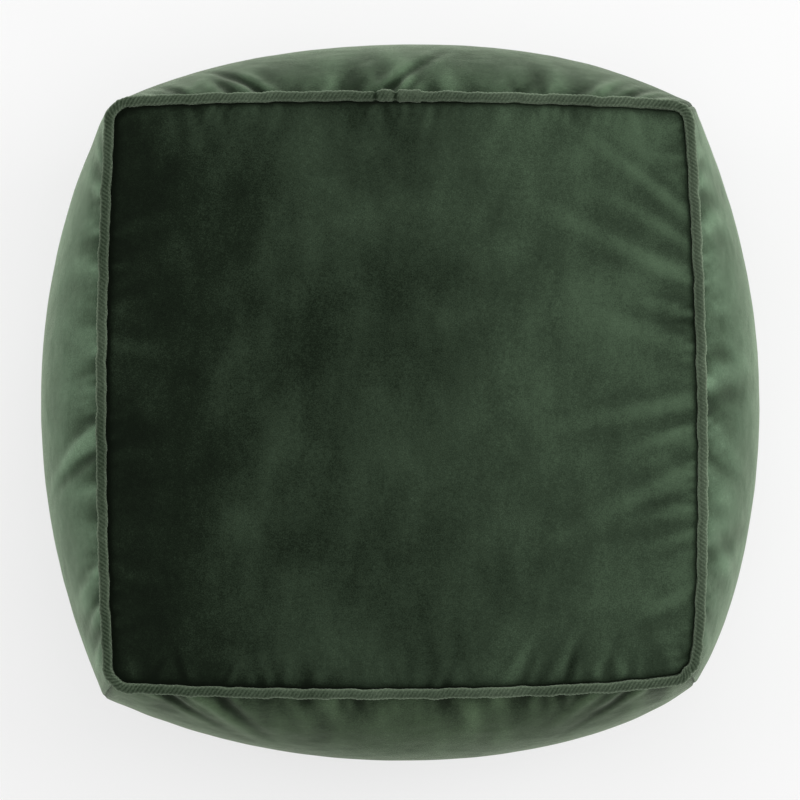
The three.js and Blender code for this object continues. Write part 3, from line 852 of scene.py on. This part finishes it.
GROOVE_FLOOR, GROOVE_EDGE, RIM = 8 * MM, 40 * MM, 25 * MM
tape_low, tape_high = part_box("zip_tape_back")
ZIP_END = tape_high[0] - 4 * MM  # where the opening starts to close
OPENING, CLOSED = 6 * MM, 0.2 * MM  # of each half's fold from the middle
CLOSING = 3.7 * MM  # length in which it closes
GROOVE = tape_low[2] - 0.4 * MM - WALL


def groove(Y):
    """Height of the base's underside: all of the groove over the zip, none past its edges."""
    share = np.clip((GROOVE_EDGE - np.abs(Y)) / (GROOVE_EDGE - GROOVE_FLOOR), 0, 1)
    return GROOVE * share


for name, sign in (("front", -1), ("back", 1)):
    x, share = grid(FINE, 90, (-1, 0), (1, 1))
    spread = RING_HALF - INSET + RING_BOW * (1 - x**2)
    closing = smooth(ZIP_END, ZIP_END + CLOSING, np.abs(x) * (RING_HALF + RING_BOW))
    fold = blend(OPENING, CLOSED, closing)
    y = sign * blend(fold / spread, 1.0, share**1.3)
    X, Y = outline(x, y, RING_HALF - INSET, RING_BOW, RING_CORNER - INSET)
    settled = smooth(0, RIM, (1 - np.maximum(np.abs(x), np.abs(y))) * RING_HALF)
    Z = blend(BASE_RING + DROP, groove(Y), settled)
    X, Y = slipped(x, y, X, Y)
    Y = np.where(share == 0, sign * fold, Y)
    half = np.stack([X, Y, Z], -1)
    distance = (1 - np.maximum(np.abs(x), np.abs(y))) * RING_HALF
    nearer = np.where(np.abs(x) > np.abs(y), Y, X)
    dips = gathers(nearer, distance, 0.012, 0.012, 0.5 * MM) * np.clip(distance / 0.004, 0, 1)
    beyond = smooth(ZIP_END, ZIP_END + RIM, np.maximum(np.abs(X), np.abs(Y)))
    half[..., 2] = half[..., 2] + np.abs(dips) * beyond
    ends_x, ends_y = np.pad(x, ((0, 1), (1, 1)), "edge"), np.pad(y, ((0, 1), (1, 1)), "edge")
    EX, EY, nx, ny = seam(np.clip(ends_x, -1, 1), ends_y)
    Z = np.full_like(EX, BASE_RING + END_DROP)
    # Painted shade: the turned edge and the cloth beside the seam are darker, as shade in the
    # crease.
    ends = np.stack([EX - nx * END_INSET, EY - ny * END_INSET, Z, 0 * Z + CREASE_SHADE], -1)
    nap = CREASE_SHADE * np.exp(-distance / CREASE_REACH)
    ends[:-1, 1:-1] = np.concatenate([half, nap[..., None]], -1)
    velvet_panel(f"base_{name}_velvet", f"base_panel_{name}", ends, "base")

# ---------------------------------------------------------------------------------------------
# The zip: two woven tapes with a moulded nylon coil sewn along each, metal stops at its ends, and a
# metal slider with a pull on its bridge.

tape_cloth = Finish("zip_tape")
parts = tape_cloth.add("SeparateXYZ", {}, {"Vector": tape_cloth.place()})
warp = (Wire(tape_cloth, parts.socket.node.outputs[1]) * 9000.0).math("SINE")
weft = (parts * 6000.0).math("SINE")
weave = warp * weft * 0.5 + 0.5
tape_velvet = tape_cloth.surface(
    Base_Color=tape_cloth.ramp(weave, (0.0, (0.008, 0.014, 0.008)), (1.0, (0.030, 0.045, 0.030))),
    Roughness=0.8,
    Normal=tape_cloth.bump(weave, 0.15 * MM),
)
nylon_finish = Finish("zip_nylon")
nylon = nylon_finish.surface(
    Base_Color=nylon_finish.ramp(
        nylon_finish.noise(400.0), (0.3, (0.010, 0.018, 0.010)), (0.7, (0.020, 0.032, 0.020))
    ),
    Roughness=0.35,
    Normal=nylon_finish.bump(nylon_finish.noise(2500.0), 0.05 * MM),
)
metal_finish = Finish("zip_nickel")
scratches = metal_finish.noise(700.0, 4.0, 0.7, (0.15, 1.0, 1.0))
nickel = metal_finish.surface(
    Base_Color=metal_finish.ramp(scratches, (0.3, (0.40, 0.39, 0.36)), (0.7, (0.62, 0.60, 0.56))),
    Metallic=1.0,
    Roughness=0.22 + scratches * 0.25,
    Normal=metal_finish.bump(scratches, 0.03 * MM),
)

COIL_PITCH, WIRE_RADIUS = 1.6 * MM, 0.33 * MM
ZIP_MIDDLE = 0.8 * MM  # from the middle to each tape and coil, clear of the slider's web


def reaching_in(node, name):
    """The low and high corners of a tape or coil, with its inner edge beside the zip's middle."""
    low, high = (np.array(corner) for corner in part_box(node))
    (low if name == "back" else high)[1] = ZIP_MIDDLE if name == "back" else -ZIP_MIDDLE
    return low, high


for name in ("front", "back"):
    low, high = reaching_in(f"zip_tape_{name}", name)
    turns = np.linspace(0, 2 * math.pi, 17)[:-1]
    corner = [np.sign(w) * np.abs(w) ** p for w, p in ((np.cos(turns), 0.2), (np.sin(turns), 0.6))]
    section = [
        (low[1] + high[1]) / 2 + corner[0] * (high[1] - low[1]) / 2,
        (low[2] + high[2]) / 2 + corner[1] * (high[2] - low[2]) / 2,
    ]
    long = np.linspace(low[0], high[0], 240)[:, None]
    points = np.stack(np.broadcast_arrays(long, section[0][None], section[1][None]), -1)
    tape = skin(f"zip_tape_{name}_woven", points, tape_velvet, capped=True, wrap=(False, True))
    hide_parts(f"zip_tape_{name}")

    low, high = reaching_in(f"zip_coil_{name}", name)
    around = np.linspace(0, 2 * math.pi, 7)[:-1]
    wound = np.arange(0, round((high[0] - low[0]) / COIL_PITCH) * 12 + 1) / 12 * 2 * math.pi
    middle, span = (low + high) / 2, (high - low) / 2 - WIRE_RADIUS
    path = np.stack([
        np.linspace(low[0] + WIRE_RADIUS, high[0] - WIRE_RADIUS, wound.size),
        middle[1] + span[1] * np.cos(wound), middle[2] + span[2] * np.sin(wound),
    ], -1)
    ahead = np.gradient(path, axis=0)
    ahead /= np.linalg.norm(ahead, axis=1, keepdims=True)
    outward = np.stack([0 * wound, np.cos(wound), np.sin(wound)], -1)
    outward -= ahead * (outward * ahead).sum(1, keepdims=True)
    outward /= np.linalg.norm(outward, axis=1, keepdims=True)
    sideways = np.cross(ahead, outward)
    wire = path[:, None] + WIRE_RADIUS * (
        outward[:, None] * np.cos(around)[None, :, None]
        + sideways[:, None] * np.sin(around)[None, :, None]
    )
    coil = skin(f"zip_coil_{name}_wound", wire, nylon, capped=True, wrap=(False, True))
    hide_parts(f"zip_coil_{name}")

# A strip of the tape's cloth, sewn to both tapes, lies behind the coils and keeps the bag out of
# the slider's way.
GUARD_HALF, GUARD_SEAM = 12 * MM, 4 * MM  # half its width, and how much of that is let down to sew
GUARD_ROOM = 0.15 * MM  # above the slider

X, Y = np.meshgrid(np.linspace(-ZIP_END, ZIP_END, 120), np.linspace(-GUARD_HALF, GUARD_HALF, 25))
over_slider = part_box("zip_slider")[1][2] + GUARD_ROOM
settled = smooth(GUARD_HALF - GUARD_SEAM, GUARD_HALF - 1 * MM, np.abs(Y))
Z = blend(over_slider, tape_high[2] + 0.05 * MM, settled)
guard = skin("zip_guard", np.stack([X, Y, Z], -1), tape_velvet)
wall = guard.modifiers.new("guard_thickness", "SOLIDIFY")
wall.thickness, wall.offset = 0.3 * MM, -1.0
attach(guard, "cushion")

METAL = ["zip_slider", "zip_pull", "zip_top_stop_front", "zip_top_stop_back", "zip_bottom_stop"]
for node in METAL:
    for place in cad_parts[node].material_slots:
        place.material = nickel

# ---------------------------------------------------------------------------------------------
# The care label: a blank woven satin tab, caught by one edge beside the zip.

low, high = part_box("care_label")
X, Y = np.meshgrid(np.linspace(low[0], high[0], 30), np.linspace(low[1], high[1], 40))
satin = Finish("label_satin")
threads = satin.noise(900.0, 2.0, 0.5, (0.2, 1.0, 1.0))
label = skin(
    "care_label_woven",
    np.stack([X, Y, groove(Y) - 0.4 * MM + 0 * X], -1),
    satin.surface(
        Base_Color=satin.ramp(threads, (0.3, (0.56, 0.54, 0.50)), (0.7, (0.70, 0.68, 0.64))),
        Roughness=0.45,
        Normal=satin.bump(threads, 0.05 * MM),
    ),
)
wall = label.modifiers.new("satin_thickness", "SOLIDIFY")
wall.thickness, wall.offset = 0.3 * MM, 1.0
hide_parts("care_label")

# ---------------------------------------------------------------------------------------------
# The inner bag: plain calico, a top, a base and a boxing strip, made to the cover's shape and
# filled with polyester fibre.

CALICO = 1.0 * MM
BAG_INSET = 7.0 * MM  # from the piping's centre line
BAG_CORNER, BAG_EDGE = 40 * MM, 24.4 * MM  # radii of the bag's corners and of its edges
FILLING_ROOM = 3 * MM

weave = Finish("calico")
parts = weave.add("SeparateXYZ", {}, {"Vector": weave.place()})
cross = [(Wire(weave, parts.socket.node.outputs[n]) * 5200.0).math("SINE") for n in range(3)]
threads = (cross[0] * cross[1] + cross[1] * cross[2] + cross[2] * cross[0]) * 0.3 + 0.5
slubs = weave.noise(160.0, 4.0, 0.6)
calico = weave.surface(
    Base_Color=weave.ramp(
        slubs * 0.7 + threads * 0.3, (0.3, (0.56, 0.52, 0.43)), (0.7, (0.74, 0.70, 0.60))
    ),
    Roughness=0.95,
    Normal=weave.bump(threads, 0.15 * MM, 0.7),
)
fibre = Finish("filling_fibre")
tufts = fibre.noise(90.0, 6.0, 0.7)
filling_fibre = fibre.surface(
    Base_Color=fibre.ramp(tufts, (0.3, (0.76, 0.75, 0.72)), (0.7, (0.90, 0.89, 0.87))),
    Roughness=1.0,
    Normal=fibre.bump(tufts, 2 * MM, 0.8),
)


def base_height(x, y):
    """The base's height inside: the groove's where it is settled, rising to the seam at its rim."""
    settled = smooth(0, RIM, (1 - np.maximum(np.abs(x), np.abs(y))) * RING_HALF)
    return blend(BASE_RING + DROP, groove(y * RING_HALF), settled)


def bag(x, y, h, inset):
    """A point of a rounded bag: x, y and h run from -1 to 1 over a cube, whose edges are drawn in
    to arcs, and whose sides bulge between them. It lies inset from the piping's centre line."""
    full = fullness((1 + h) / 2)
    half, rise = RING_HALF - inset, (TOP_RING - BASE_RING) / 2 - inset
    edge = BAG_EDGE + BAG_INSET - inset
    reach = np.maximum(np.maximum(np.abs(x), np.abs(y)), 1e-9)
    a, b = reach * half - half + edge, np.abs(h) * rise - rise + edge
    rounded = (a > 0) & (b > 0)
    pull = np.where(rounded, np.maximum(a, b) / np.maximum(np.hypot(a, b), 1e-9), 1.0)
    share = np.where(rounded, (half - edge + a * pull) / (reach * half), 1.0)
    x, y = x * share, y * share
    h = np.where(rounded, h * (rise - edge + b * pull) / np.maximum(np.abs(h) * rise, 1e-9), h)
    share = (1 + h) / 2
    radius = BAG_CORNER + BAG_INSET - inset
    X, Y = outline(x, y, half + CORNER_BULGE * full, RING_BOW + SIDE_BULGE * full, radius)
    arch = (CROWN_TOP - TOP_RING + DROP) * (1 - np.abs(x) ** 2.6) * (1 - np.abs(y) ** 2.6)
    low = BASE_RING + inset - (BASE_RING + DROP - base_height(x, y)) * (1 - share)
    high = TOP_RING + lift(x, y) - inset + arch * share
    return np.stack([X, Y, blend(low, high, share) - SIDE_SAG * full], -1)


def calico_piece(name, node, points, wrap=(False, False)):
    """A piece of the bag with its wall inwards, which stands for its solid in the frame."""
    piece = skin(name, points, calico, wrap=wrap)
    wall = piece.modifiers.new("calico_thickness", "SOLIDIFY")
    wall.thickness, wall.offset = CALICO, -1.0
    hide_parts(node)


x, y = grid(100, 100)
calico_piece("liner_top_calico", "liner_top", bag(x, y, 1.0 + 0 * x, BAG_INSET))
calico_piece("liner_base_calico", "liner_base", bag(x, y, -1.0 + 0 * x, BAG_INSET))
x, y = ring(400)
h = np.linspace(-1, 1, 50)[:, None] * (1 - 1.6 * MM / (TOP_RING - BASE_RING))
strip = bag(x[None] + 0 * h, y[None] + 0 * h, h + 0 * x, BAG_INSET)
calico_piece("liner_boxing_calico", "liner_boxing", strip, (False, True))

spread = np.concatenate([np.linspace(0, 1, 31), np.ones(39), np.linspace(1, 0, 31)])[:, None]
climb = np.concatenate([-np.ones(31), np.linspace(-1, 1, 41)[1:-1], np.ones(31)])[:, None]
stuffing = bag(x * spread, y * spread, climb + 0 * x, BAG_INSET + CALICO + FILLING_ROOM)
filling = skin("polyester_filling", stuffing, filling_fibre, wrap=(False, True))
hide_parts("filling")

size = {"cad": [list(c) for c in frame_box], "visual": [list(c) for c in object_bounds()]}
